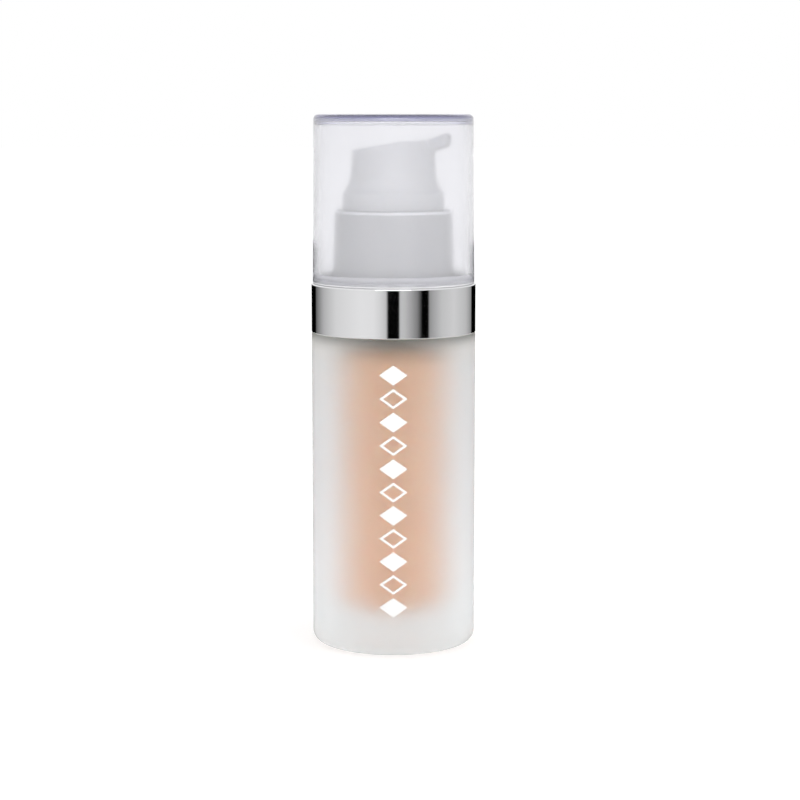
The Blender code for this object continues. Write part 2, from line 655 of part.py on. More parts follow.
def main():
    clear_scene()
    parts = new_collection("foundation_bottle")
    cutters = new_collection("cutters", hidden=True)
    frosted_glass = principled("frosted_glass", (0.93, 0.94, 0.94), 0.5, transmission=0.9)
    peach_liquid = principled("peach_liquid", (0.72, 0.43, 0.27), 0.45)
    polished_metal = principled("polished_metal", (0.75, 0.75, 0.76), 0.08, metallic=1.0)
    milky_plastic = principled("milky_plastic", (0.88, 0.89, 0.94), 0.2, transmission=0.8)
    white_plastic = principled("white_plastic", (0.82, 0.82, 0.83), 0.35)
    natural_plastic = principled("natural_plastic", (0.78, 0.78, 0.76), 0.4)
    seal_rubber = principled("seal_rubber", (0.55, 0.56, 0.58), 0.6)
    spring_steel = principled("spring_steel", (0.6, 0.6, 0.6), 0.25, metallic=1.0)

    # Each piece's maker and material, grouped by the body that it moves with.
    bodies = {
        "bottle": ((glass_bottle, frosted_glass), (foundation_fill, peach_liquid)),
        "pump": (
            (pump_housing, natural_plastic),
            (chaplet, natural_plastic),
            (stem_seal, seal_rubber),
            (neck_gasket, seal_rubber),
            (dip_tube, natural_plastic),
        ),
        "closure": (
            (threaded_closure, white_plastic),
            (collar_shell, polished_metal),
            (pump_shroud, white_plastic),
        ),
        "overcap_lift": ((overcap, milky_plastic),),
        "spring_end": ((return_spring, spring_steel),),
        "button": ((actuator, white_plastic), (outlet_stem, natural_plastic), (piston_rod, natural_plastic)),
        "slider": ((piston, natural_plastic),),
        "valve": ((inlet_ball, spring_steel),),
    }
    for body, pieces in bodies.items():
        parent = bpy.data.objects.new("body_" + body, None)
        parts.objects.link(parent)
        for make, material in pieces:
            piece = make(parts, cutters)
            piece.parent = parent
            finish(piece, material)
    for cutter in cutters.objects:
        cutter.hide_render = True
        cutter.display_type = "WIRE"


main()
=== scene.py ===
"""Foundation bottle: fine surfaces, materials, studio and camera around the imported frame.

Everything is in metres, in the frame's own axes: +Z up, the printed front towards -Y.
"""

import math

import bmesh
import bpy
from mathutils import Matrix, Vector


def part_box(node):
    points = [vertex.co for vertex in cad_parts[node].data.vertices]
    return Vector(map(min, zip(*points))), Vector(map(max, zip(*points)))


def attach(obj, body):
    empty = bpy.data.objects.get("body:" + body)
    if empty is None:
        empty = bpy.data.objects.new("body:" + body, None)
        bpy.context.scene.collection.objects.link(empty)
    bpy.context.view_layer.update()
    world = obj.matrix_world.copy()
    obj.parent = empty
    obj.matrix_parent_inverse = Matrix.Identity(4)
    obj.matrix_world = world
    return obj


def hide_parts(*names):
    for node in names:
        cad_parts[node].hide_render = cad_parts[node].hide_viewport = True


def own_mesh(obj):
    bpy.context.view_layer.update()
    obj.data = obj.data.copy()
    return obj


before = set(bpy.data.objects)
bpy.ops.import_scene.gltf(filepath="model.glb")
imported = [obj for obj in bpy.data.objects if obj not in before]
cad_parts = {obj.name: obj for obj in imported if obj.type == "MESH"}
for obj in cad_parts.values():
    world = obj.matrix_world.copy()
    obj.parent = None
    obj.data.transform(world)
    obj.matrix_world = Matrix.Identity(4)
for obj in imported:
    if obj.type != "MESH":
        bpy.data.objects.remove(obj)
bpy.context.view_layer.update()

MM = 0.001

# Sizes that the frame gives.
BOTTLE_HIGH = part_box("glass_bottle")[1]
COLLAR_LOW, COLLAR_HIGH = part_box("collar_shell")
CLOSURE_LOW, CLOSURE_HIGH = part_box("threaded_closure")
SHROUD_LOW, SHROUD_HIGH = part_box("pump_shroud")
CAP_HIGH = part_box("overcap")[1]
BUTTON_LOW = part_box("actuator")[0]
SPRING_LOW, SPRING_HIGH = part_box("return_spring")
BODY_RADIUS = BOTTLE_HIGH[0]
NECK_TOP_Z = BOTTLE_HIGH[2]
COLLAR_Z = COLLAR_LOW[2]
COLLAR_TOP_Z = COLLAR_HIGH[2]
CAP_TOP_Z = CAP_HIGH[2]
SHROUD_TOP_Z = SHROUD_HIGH[2]

# The neck and the cavity hang on the frame's shoulder. The glass comes up closer under the collar than
# the frame's clearance, and the overcap comes down closer over it.
SHOULDER_Z = COLLAR_Z - 0.3 * MM
GLASS_SHOULDER_Z = COLLAR_Z - 0.05 * MM
CAP_RIM_Z = COLLAR_TOP_Z + 0.05 * MM

# Print: its film stands on the glass and reaches a little way into it.
PRINT_THICKNESS = 0.02 * MM
PRINT_DEPTH = 0.03 * MM
LOZENGE_STEPS = 10
LOZENGE_ROWS = 8

# Bottle.
GLASS_RADIUS = BODY_RADIUS - PRINT_THICKNESS - 0.005 * MM
CAVITY_RADIUS = 13.2 * MM
CAVITY_FLOOR_Z = 7.9 * MM
CAVITY_FLOOR_FILLET = 4.0 * MM
CAVITY_CEILING_Z = SHOULDER_Z - 2.7 * MM
CAVITY_CEILING_FILLET = 3.5 * MM
HEEL_FILLET = 2.4 * MM
SHOULDER_FILLET = 0.6 * MM
NECK_RADIUS = 8.75 * MM
NECK_BORE_RADIUS = 6.4 * MM
PUNT_DEPTH = 0.8 * MM

# Thread.
THREAD_PITCH = 3.175 * MM
THREAD_TURNS = 1.5
THREAD_START_Z = SHOULDER_Z + 5.0 * MM

# Facets around the axis.
FINEST = 256
FINE = 192
BUTTON_FACETS = 128
MEDIUM = 96

# Points closer than this become one.
MERGE_DISTANCE = 0.001 * MM


# ---------------------------------------------------------------- shapes


def arc(centre, radius, start, end, steps=8):
    """Points of an arc about (radius, height), from the start to the end angle in degrees."""
    points = []
    for step in range(steps + 1):
        angle = math.radians(start + (end - start) * step / steps)
        points.append((centre[0] + radius * math.cos(angle), centre[1] + radius * math.sin(angle)))
    return points


def link(obj):
    bpy.context.scene.collection.objects.link(obj)
    return obj


def settle(obj, sharp=30.0):
    """Applies the object's modifiers and shades it smooth up to the sharp angle in degrees."""
    bpy.context.view_layer.update()
    graph = bpy.context.evaluated_depsgraph_get()
    obj.data = bpy.data.meshes.new_from_object(obj.evaluated_get(graph))
    obj.modifiers.clear()
    obj.data.shade_smooth()
    obj.data.set_sharp_from_angle(angle=math.radians(sharp))
    return obj


def braced(profile):
    """The profile with a point near each end of its long runs, which keeps their smooth shading flat."""
    long_run = 1.5 * MM
    near = 0.12 * MM
    points = [profile[0]]
    for end in profile[1:]:
        start = points[-1]
        length = math.dist(start, end)
        if length > long_run and max(start[0], end[0]) > 0.0:
            for share in (near / length, 1.0 - near / length):
                radius = start[0] + (end[0] - start[0]) * share
                height = start[1] + (end[1] - start[1]) * share
                points.append((radius, height))
        points.append(end)
    return points


def turned(name, profile, segments=FINE):
    """Solid turned about Z. Its profile runs down the outer side from the axis, or is a closed ring."""
    on_axis = profile[0][0] == 0.0 and profile[-1][0] == 0.0
    profile = braced(profile)
    edges = [(i, i + 1) for i in range(len(profile) - 1)]
    if not on_axis:
        edges.append((len(profile) - 1, 0))
    mesh = bpy.data.meshes.new(name)
    mesh.from_pydata([(radius, 0.0, height) for radius, height in profile], edges, [])
    obj = link(bpy.data.objects.new(name, mesh))
    screw = obj.modifiers.new("Turn", "SCREW")
    screw.steps = segments
    screw.render_steps = segments
    screw.use_merge_vertices = True
    screw.merge_threshold = MERGE_DISTANCE
    return obj


def mesh_object(name, shape):
    """Object in the scene made from a bmesh, which is used up."""
    mesh = bpy.data.meshes.new(name)
    shape.to_mesh(mesh)
    shape.free()
    return link(bpy.data.objects.new(name, mesh))


def box_solid(name, size, centre):
    shape = bmesh.new()
    place = Matrix.Translation(centre) @ Matrix.Diagonal((*size, 1.0))
    bmesh.ops.create_cube(shape, size=1.0, matrix=place)
    return mesh_object(name, shape)


def rod_solid(name, radius, start, end, segments=48):
    """Closed cylinder between two points."""
    shape = bmesh.new()
    direction = end - start
    turn = direction.to_track_quat("Z", "Y").to_matrix().to_4x4()
    bmesh.ops.create_cone(
        shape, cap_ends=True, segments=segments, radius1=radius, radius2=radius, depth=direction.length,
        matrix=Matrix.Translation((start + end) / 2) @ turn,
    )
    return mesh_object(name, shape)


def combine(obj, other, operation):
    """Joins or cuts obj with another solid, which is used up."""
    boolean = obj.modifiers.new(operation, "BOOLEAN")
    boolean.operation = operation
    boolean.solver = "EXACT"
    boolean.object = other
    settle(obj)
    bpy.data.objects.remove(other)


def coil(name, radius, turns, height, wire_radius, points_per_turn, taper=0.0):
    """Round wire wound about Z, with its centre at height(turn). Its ends thin out over taper turns."""
    end_share = 0.3
    count = round(turns * points_per_turn) + 1
    curve = bpy.data.curves.new(name, "CURVE")
    curve.dimensions = "3D"
    curve.bevel_depth = wire_radius
    curve.bevel_resolution = 4
    curve.use_fill_caps = True
    spline = curve.splines.new("POLY")
    spline.points.add(count - 1)
    for index, point in enumerate(spline.points):
        turn = turns * index / (count - 1)
        angle = 2.0 * math.pi * turn
        point.co = (radius * math.cos(angle), radius * math.sin(angle), height(turn), 1.0)
        if taper:
            point.radius = end_share + (1.0 - end_share) * min(1.0, turn / taper, (turns - turn) / taper)
    obj = link(bpy.data.objects.new(name, curve))
    bpy.context.view_layer.update()
    mesh = bpy.data.meshes.new_from_object(obj.evaluated_get(bpy.context.evaluated_depsgraph_get()))
    bpy.data.objects.remove(obj)
    shape = bmesh.new()
    shape.from_mesh(mesh)
    bpy.data.meshes.remove(mesh)
    bmesh.ops.remove_doubles(shape, verts=shape.verts, dist=MERGE_DISTANCE)
    bmesh.ops.recalc_face_normals(shape, faces=shape.faces)
    return mesh_object(name, shape)


def thread(centre_radius, bead_radius, start_z):
    """Screw bead that fades out at both ends."""
    def height(turn):
        return start_z + THREAD_PITCH * turn

    return coil("bead", centre_radius, THREAD_TURNS, height, bead_radius, 96, taper=0.12)


def piece(obj, body, slot, material, *cad_nodes):
    """Gives a piece its material, its body and the CAD nodes that it stands for. The record's slot is
    not used.
    """
    obj.data.materials.clear()
    obj.data.materials.append(material)
    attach(obj, body)
    if cad_nodes:
        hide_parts(*cad_nodes)
    return obj


# ---------------------------------------------------------------- materials


def fill_ramp(ramp, stops):
    elements = ramp.elements
    while len(elements) > 1:
        elements.remove(elements[-1])
    elements[0].position = stops[0][0]
    elements[0].color = (*stops[0][1], 1.0)
    for position, color in stops[1:]:
        elements.new(position).color = (*color, 1.0)


class Shader:
    """A Principled material under construction: constants go on its sockets, and patterns are noise."""

    def __init__(self, name, color, roughness, **values):
        self.material = bpy.data.materials.new(name)
        self.material.use_nodes = True
        self.nodes = self.material.node_tree.nodes
        self.links = self.material.node_tree.links
        self.principled = self.nodes["Principled BSDF"]
        self.color = color
        self.principled.inputs["Base Color"].default_value = (*color, 1.0)
        self.principled.inputs["Roughness"].default_value = roughness
        for key, value in values.items():
            self.principled.inputs[key.replace("_", " ")].default_value = value
        self.coordinates = self.nodes.new("ShaderNodeTexCoord")

    def noise(self, scale, detail=3.0, stretch=(1.0, 1.0, 1.0)):
        mapping = self.nodes.new("ShaderNodeMapping")
        mapping.inputs["Scale"].default_value = stretch
        self.links.new(self.coordinates.outputs["Object"], mapping.inputs["Vector"])
        noise = self.nodes.new("ShaderNodeTexNoise")
        noise.inputs["Scale"].default_value = scale
        noise.inputs["Detail"].default_value = detail
        self.links.new(mapping.outputs["Vector"], noise.inputs["Vector"])
        return noise.outputs["Fac"]

    def spread(self, value, low, high, near=0.3, far=0.7):
        """Maps a value from the range near to far, which suits noise, to the range low to high."""
        node = self.nodes.new("ShaderNodeMapRange")
        node.inputs["From Min"].default_value = near
        node.inputs["From Max"].default_value = far
        node.inputs["To Min"].default_value = low
        node.inputs["To Max"].default_value = high
        self.links.new(value, node.inputs["Value"])
        return node.outputs["Result"]

    def vary_roughness(self, scale, low, high, stretch=(1.0, 1.0, 1.0)):
        value = self.spread(self.noise(scale, 4.0, stretch), low, high)
        self.links.new(value, self.principled.inputs["Roughness"])

    def vary_color(self, scale, other, amount):
        """Blends in another colour by up to the amount, in patches of the noise's size."""
        mix = self.nodes.new("ShaderNodeMix")
        mix.data_type = "RGBA"
        mix.inputs["A"].default_value = (*self.color, 1.0)
        mix.inputs["B"].default_value = (*other, 1.0)
        self.links.new(self.spread(self.noise(scale, 3.0), 0.0, amount), mix.inputs["Factor"])
        self.links.new(mix.outputs["Result"], self.principled.inputs["Base Color"])

    def height(self, low, high):
        """Share of the way from the low to the high height in the object's own axes."""
        separate = self.nodes.new("ShaderNodeSeparateXYZ")
        self.links.new(self.coordinates.outputs["Object"], separate.inputs["Vector"])
        return self.spread(separate.outputs["Z"], 0.0, 1.0, low, high)

    def axis_distance(self, low, high):
        """Share of the way from the low to the high distance from the Z axis."""
        flatten = self.nodes.new("ShaderNodeVectorMath")
        flatten.operation = "MULTIPLY"
        flatten.inputs[1].default_value = (1.0, 1.0, 0.0)
        self.links.new(self.coordinates.outputs["Object"], flatten.inputs[0])
        length = self.nodes.new("ShaderNodeVectorMath")
        length.operation = "LENGTH"
        self.links.new(flatten.outputs["Vector"], length.inputs[0])
        return self.spread(length.outputs["Value"], 0.0, 1.0, low, high)

    def product(self, first, second):
        node = self.nodes.new("ShaderNodeMath")
        node.operation = "MULTIPLY"
        self.links.new(first, node.inputs[0])
        self.links.new(second, node.inputs[1])
        return node.outputs["Value"]

    def grade(self, value, stops):
        """Colours the base by a value through a ramp of (position, colour) stops."""
        ramp = self.nodes.new("ShaderNodeValToRGB")
        fill_ramp(ramp.color_ramp, stops)
        self.links.new(value, ramp.inputs["Fac"])
        self.links.new(ramp.outputs["Color"], self.principled.inputs["Base Color"])

    def bump(self, scale, depth, detail=3.0, stretch=(1.0, 1.0, 1.0)):
        bump = self.nodes.new("ShaderNodeBump")
        bump.inputs["Strength"].default_value = 1.0
        bump.inputs["Distance"].default_value = depth
        self.links.new(self.noise(scale, detail, stretch), bump.inputs["Height"])
        self.links.new(bump.outputs["Normal"], self.principled.inputs["Normal"])

    def absorb(self, color, density):
        volume = self.nodes.new("ShaderNodeVolumeAbsorption")
        volume.inputs["Color"].default_value = (*color, 1.0)
        volume.inputs["Density"].default_value = density
        output = self.nodes["Material Output"]
        self.links.new(volume.outputs["Volume"], output.inputs["Volume"])


# Faint green of the glass, and how densely it absorbs.
GLASS_TINT = (0.88, 0.96, 0.92)
GLASS_DENSITY = 3.0

# Grey of the frosted surface up its height, painted light and shade: the base is painted brightest, and
# painted shade of the collar darkens the top.
FROST_LIGHT_AND_SHADE = (
    (0.0, (0.98, 0.985, 0.985)), (0.10, (0.90, 0.92, 0.935)), (0.25, (0.93, 0.95, 0.97)),
    (0.68, (0.885, 0.905, 0.925)), (0.90, (0.875, 0.89, 0.905)), (0.955, (0.95, 0.95, 0.945)),
    (0.972, (0.84, 0.84, 0.83)), (0.986, (0.58, 0.58, 0.57)), (1.0, (0.28, 0.29, 0.27)),
)


def frosted_glass():
    """Acid-etched outside of the bottle: broad soft transmission with a fine silky grain, and a grey of
    painted light and shade up its height.
    """
    shader = Shader("frosted_glass", (0.84, 0.845, 0.84), 0.95, Transmission_Weight=1.0, IOR=1.5)
    # Painted light and shade: the base colour follows the height, brightest at the base and darkest
    # under the collar.
    shader.grade(shader.height(0.0, SHOULDER_Z), FROST_LIGHT_AND_SHADE)
    shader.vary_roughness(900.0, 0.92, 1.0)
    shader.bump(6000.0, 0.004 * MM)
    shader.absorb(GLASS_TINT, GLASS_DENSITY)
    return shader.material


def shaded_glass():
    """Frosted shoulder under the closure, painted darker as shade where hardly any light gets in."""
    shader = Shader("shaded_glass", (0.80, 0.805, 0.785), 0.95, Transmission_Weight=1.0, IOR=1.5)
    shader.vary_roughness(900.0, 0.92, 1.0)
    shader.bump(6000.0, 0.004 * MM)
    return shader.material


def clear_glass(name, ior):
    """Fire-polished inside of the bottle. The wall that the liquid wets has a low index."""
    shader = Shader(name, (0.98, 0.985, 0.98), 0.03, Transmission_Weight=1.0, IOR=ior)
    shader.vary_roughness(120.0, 0.01, 0.05)
    shader.bump(60.0, 0.01 * MM)
    shader.absorb(GLASS_TINT, GLASS_DENSITY)
    return shader.material


def liquid():
    """Peach foundation: an opaque emulsion that light enters a little way."""
    shader = Shader(
        "liquid_foundation", (0.75, 0.43, 0.305), 0.35, Subsurface_Weight=0.35,
        Subsurface_Radius=(1.0, 0.45, 0.25), Subsurface_Scale=0.0015, IOR=1.4,
    )
    shader.vary_color(70.0, (0.78, 0.475, 0.35), 0.6)
    shader.bump(150.0, 0.02 * MM)
    return shader.material


def print_ink():
    """Screen-printed white enamel, slightly uneven like a pulled ink film."""
    shader = Shader("white_print", (0.93, 0.93, 0.92), 0.5)
    shader.vary_color(1500.0, (0.86, 0.86, 0.85), 0.5)
    shader.vary_roughness(1500.0, 0.45, 0.6)
    shader.bump(4000.0, 0.003 * MM)
    return shader.material


def polished_metal():
    """Bright plated aluminium with the faintest draw lines running round it."""
    shader = Shader("polished_metal", (0.76, 0.76, 0.77), 0.06, Metallic=1.0)
    shader.vary_roughness(300.0, 0.04, 0.08, (1.0, 1.0, 30.0))
    shader.bump(150.0, 0.0008 * MM, 2.0, (1.0, 1.0, 25.0))
    return shader.material


def milky_plastic():
    """Overcap: glossy moulded plastic that blurs what is behind it, with a painted violet shade on the
    top's outer corner, where the plate is seen edge on.
    """
    milky = (0.972, 0.972, 0.982)
    shader = Shader("milky_plastic", milky, 0.15, Transmission_Weight=0.92, IOR=1.49)
    # Painted shade: a darker violet is coloured onto the top's outer corner, by height and distance from
    # the axis, for the plate seen edge on.
    plate = shader.height(CAP_TOP_Z - 1.1 * MM, CAP_TOP_Z - 0.7 * MM)
    edge = shader.axis_distance(16.0 * MM, 17.2 * MM)
    shader.grade(shader.product(plate, edge), ((0.0, milky), (1.0, (0.50, 0.49, 0.76))))
    shader.vary_roughness(40.0, 0.13, 0.18)
    shader.bump(90.0, 0.004 * MM)
    shader.absorb((0.5, 0.5, 0.8), 22.0)
    return shader.material


def painted_light_rim():
    """The overcap's rim and snap bead, painted whiter and less clear than the rest of the cap as painted
    light, so that they read as a bright band.
    """
    shader = Shader("painted_light_rim", (0.97, 0.97, 0.985), 0.2, Transmission_Weight=0.35, IOR=1.49)
    shader.vary_roughness(40.0, 0.18, 0.24)
    shader.bump(90.0, 0.004 * MM)
    return shader.material


def white_plastic(name, grey, roughness):
    """Moulded polypropylene: faint flow marks and a soft gloss."""
    shader = Shader(
        name, (grey, grey, grey * 1.005), roughness, Subsurface_Weight=0.15,
        Subsurface_Radius=(1.0, 0.9, 0.8), Subsurface_Scale=0.0008,
    )
    shader.vary_color(60.0, (grey * 0.96, grey * 0.965, grey * 0.98), 0.7)
    shader.vary_roughness(250.0, roughness - 0.04, roughness + 0.06)
    shader.bump(1800.0, 0.004 * MM)
    return shader.material


def natural_plastic():
    """Uncoloured polypropylene of the pump: waxy and a little see-through."""
    shader = Shader(
        "natural_plastic", (0.84, 0.84, 0.82), 0.38, Transmission_Weight=0.35, IOR=1.49,
        Subsurface_Weight=0.2, Subsurface_Radius=(1.0, 1.0, 0.9), Subsurface_Scale=0.001,
    )
    shader.vary_roughness(400.0, 0.34, 0.46)
    shader.bump(900.0, 0.006 * MM)
    return shader.material


def seal_rubber():
    shader = Shader("seal_rubber", (0.50, 0.51, 0.53), 0.6)
    shader.vary_color(500.0, (0.44, 0.45, 0.47), 0.7)
    shader.bump(2500.0, 0.008 * MM)
    return shader.material


def spring_steel():
    """Drawn stainless wire: bright, with streaks along the draw."""
    shader = Shader("spring_steel", (0.62, 0.62, 0.62), 0.22, Metallic=1.0)
    shader.vary_roughness(700.0, 0.16, 0.32)
    shader.bump(2500.0, 0.002 * MM)
    return shader.material


# ---------------------------------------------------------------- bottle


def glass_bottle():
    """Heavy cylinder with a rounded heel, a shallow punt, a threaded neck and a smooth cavity."""
    lip = 0.5 * MM
    root = 1.0 * MM
    contact_ring = 12.5 * MM
    punt_steps = 8
    punt_share = 0.45
    profile = [(0.0, NECK_TOP_Z)]
    profile += arc((NECK_RADIUS - lip, NECK_TOP_Z - lip), lip, 90, 0, 6)
    profile += arc((NECK_RADIUS + root, GLASS_SHOULDER_Z + root), root, 180, 270, 8)
    shoulder_centre = (GLASS_RADIUS - SHOULDER_FILLET, GLASS_SHOULDER_Z - SHOULDER_FILLET)
    profile += arc(shoulder_centre, SHOULDER_FILLET, 90, 0, 8)
    profile += arc((GLASS_RADIUS - HEEL_FILLET, HEEL_FILLET), HEEL_FILLET, 0, -90, 16)
    profile += [(contact_ring + 0.5 * MM, 0.0)]
    for step in range(punt_steps + 1):
        share = step / punt_steps
        rise = PUNT_DEPTH * (0.5 - 0.5 * math.cos(math.pi * share))
        profile.append((contact_ring * (1.0 - punt_share * share), rise))
    profile += [(0.0, PUNT_DEPTH)]
    bottle = settle(turned("frosted_bottle", profile))
    combine(bottle, thread(8.95 * MM, 0.8 * MM, THREAD_START_Z), "UNION")
    combine(bottle, turned("cavity", cavity_profile()), "DIFFERENCE")
    piece(bottle, "bottle", "frosted_glass", frosted_glass(), "glass_bottle")
    finish_glass(bottle)


def finish_glass(bottle):
    """Gives the cavity and the neck their own kinds of glass, and the shoulder a glass painted darker as
    shade.
    """
    bottle.data.materials.append(clear_glass("clear_glass", 1.5))
    bottle.data.materials.append(shaded_glass())
    bottle.data.materials.append(clear_glass("wetted_glass", 1.14))
    clear, shaded, wetted = 1, 2, 3
    inside_radius = CAVITY_RADIUS + 0.2 * MM
    for polygon in bottle.data.polygons:
        centre = polygon.center
        radius = math.hypot(centre.x, centre.y)
        in_cavity = radius < inside_radius and PUNT_DEPTH + 1.0 * MM < centre.z
        on_shoulder = centre.z > GLASS_SHOULDER_Z - 0.1 * MM and radius > inside_radius - 4.0 * MM
        if on_shoulder:
            polygon.material_index = shaded
        elif in_cavity and centre.z < CAVITY_CEILING_Z + 0.1 * MM:
            polygon.material_index = wetted
        elif in_cavity or centre.z > GLASS_SHOULDER_Z:
            polygon.material_index = clear


def cavity_profile():
    """Inside of the bottle: mouth, neck bore, rounded ceiling, wall and rounded floor."""
    mouth_z = NECK_TOP_Z + 1.0 * MM
    lip = 0.4 * MM
    blend = 0.8 * MM
    profile = [(0.0, mouth_z), (NECK_BORE_RADIUS + 1.0 * MM, mouth_z)]
    profile += arc((NECK_BORE_RADIUS + lip, NECK_TOP_Z - lip), lip, 90, 180, 5)
    profile += arc((NECK_BORE_RADIUS + blend, CAVITY_CEILING_Z + blend), blend, 180, 270, 8)
    ceiling_centre = (CAVITY_RADIUS - CAVITY_CEILING_FILLET, CAVITY_CEILING_Z - CAVITY_CEILING_FILLET)
    profile += arc(ceiling_centre, CAVITY_CEILING_FILLET, 90, 0, 16)
    floor_centre = (CAVITY_RADIUS - CAVITY_FLOOR_FILLET, CAVITY_FLOOR_Z + CAVITY_FLOOR_FILLET)
    profile += arc(floor_centre, CAVITY_FLOOR_FILLET, 0, -90, 16)
    profile += [(0.0, CAVITY_FLOOR_Z)]
    return profile


def liquid_foundation():
    """Liquid just inside the cavity's wall, which it climbs a little, with a pocket for the pump."""
    film = 0.1 * MM
    climb = 0.25 * MM
    barrel = 5.8 * MM
    nipple = 3.8 * MM
    tube = 2.35 * MM
    tube_end = 9.1 * MM
    nipple_end = NECK_TOP_Z - 35.3 * MM
    radius = CAVITY_RADIUS - film
    level = CAVITY_CEILING_Z - 0.4 * MM
    upper = CAVITY_CEILING_FILLET - film
    lower = CAVITY_FLOOR_FILLET - film
    centre = (radius - upper, CAVITY_CEILING_Z - CAVITY_CEILING_FILLET)
    start = math.degrees(math.asin((level + climb - centre[1]) / upper))
    meniscus = arc(centre, upper, start, 0, 10)
    edge = meniscus[0][0]
    profile = [(barrel, level), (edge - 1.2 * MM, level), (edge - 0.5 * MM, level + 0.06 * MM)]
    profile += meniscus
    profile += arc((radius - lower, CAVITY_FLOOR_Z + CAVITY_FLOOR_FILLET), lower, 0, -90, 16)
    profile += [(0.0, CAVITY_FLOOR_Z + film), (0.0, tube_end), (tube, tube_end), (tube, nipple_end)]
    profile += [(nipple, nipple_end), (nipple, nipple_end + 5.3 * MM), (barrel, nipple_end + 7.5 * MM)]
    fill = settle(turned("liquid_foundation", profile))
    piece(fill, "bottle", "foundation", liquid(), "foundation_fill")


def front_print():
    """Generic printed ornament down the front: a column of lozenges, alternately solid and open."""
    shape = bmesh.new()
    count = 11
    top_z = 67.5 * MM
    bottom_z = 8.9 * MM
    open_share = 0.72
    spacing = (top_z - bottom_z) / count
    half_height = spacing * 0.43
    half_width = 3.2 * MM
    for index in range(count):
        middle = top_z - spacing * (index + 0.5)
        lozenge(shape, middle, half_width, half_height, open_share if index % 2 else 0.0)
    mark = mesh_object("front_print", shape)
    mark.data.shade_smooth()
    mark.data.set_sharp_from_angle(angle=math.radians(40.0))
    piece(mark, "bottle", "white_plastic", print_ink())


def on_glass(across, up, lift):
    """Point on the front of the glass, at an arc length across from the middle and a lift off it."""
    angle = across / GLASS_RADIUS
    radius = GLASS_RADIUS + lift
    return (radius * math.sin(angle), -radius * math.cos(angle), up)


def lozenge_rings(shape, middle, half_width, half_height, opening, lift):
    """Rings of vertices from the lozenge's outline inwards to its opening, or to its middle point."""
    corners = [(0.0, half_height), (half_width, 0.0), (0.0, -half_height), (-half_width, 0.0)]
    rings = []
    for row in range(LOZENGE_ROWS + 1):
        share = 1.0 + (opening - 1.0) * row / LOZENGE_ROWS
        if share == 0.0:
            rings.append([shape.verts.new(on_glass(0.0, middle, lift))])
            continue
        ring = []
        for corner in range(4):
            begin = corners[corner]
            end = corners[(corner + 1) % 4]
            for step in range(LOZENGE_STEPS):
                along = step / LOZENGE_STEPS
                across = (begin[0] + (end[0] - begin[0]) * along) * share
                up = (begin[1] + (end[1] - begin[1]) * along) * share
                ring.append(shape.verts.new(on_glass(across, middle + up, lift)))
        rings.append(ring)
    return rings


def lozenge(shape, middle, half_width, half_height, opening):
    """Closed lozenge of ink, solid or with an opening of the given share, that follows the glass."""
    top = lozenge_rings(shape, middle, half_width, half_height, opening, PRINT_THICKNESS)
    under = lozenge_rings(shape, middle, half_width, half_height, opening, -PRINT_DEPTH)
    count = 4 * LOZENGE_STEPS
    for row in range(LOZENGE_ROWS):
        for rings, flip in ((top, False), (under, True)):
            outer = rings[row]
            inner = rings[row + 1]
            for i in range(count):
                j = (i + 1) % count
                face = [outer[i], outer[j]]
                face += [inner[0]] if len(inner) == 1 else [inner[j], inner[i]]
                shape.faces.new(face if flip else face[::-1])
    edges = [(top[0], under[0])]
    if opening:
        edges.append((under[-1], top[-1]))
    for upper, lower in edges:
        for i in range(count):
            j = (i + 1) % count
            shape.faces.new([upper[i], upper[j], lower[j], lower[i]])


# ---------------------------------------------------------------- closure


def metal_collar():
    """Drawn band with a crisp rolled edge above and below, and a flange turned in over the deck."""
    wall = 0.4 * MM
    fold = 0.15 * MM
    top_edge = 0.3 * MM
    bottom_edge = 0.08 * MM
    burr = 0.1 * MM
    opening = 16.95 * MM
    profile = [(opening, COLLAR_TOP_Z - burr), (opening + burr, COLLAR_TOP_Z)]
    profile += arc((BODY_RADIUS - top_edge, COLLAR_TOP_Z - top_edge), top_edge, 90, 0, 10)
    profile += arc((BODY_RADIUS - bottom_edge, COLLAR_Z + bottom_edge), bottom_edge, 0, -90, 5)
    profile += arc((BODY_RADIUS - wall + burr, COLLAR_Z + burr), burr, -90, -180, 3)
    profile += arc((BODY_RADIUS - wall - fold, COLLAR_TOP_Z - wall - fold), fold, 0, 90, 5)
    profile += [(opening, COLLAR_TOP_Z - wall)]
    collar = settle(turned("metal_collar", profile, FINEST))
    piece(collar, "closure", "polished_metal", polished_metal(), "collar_shell")


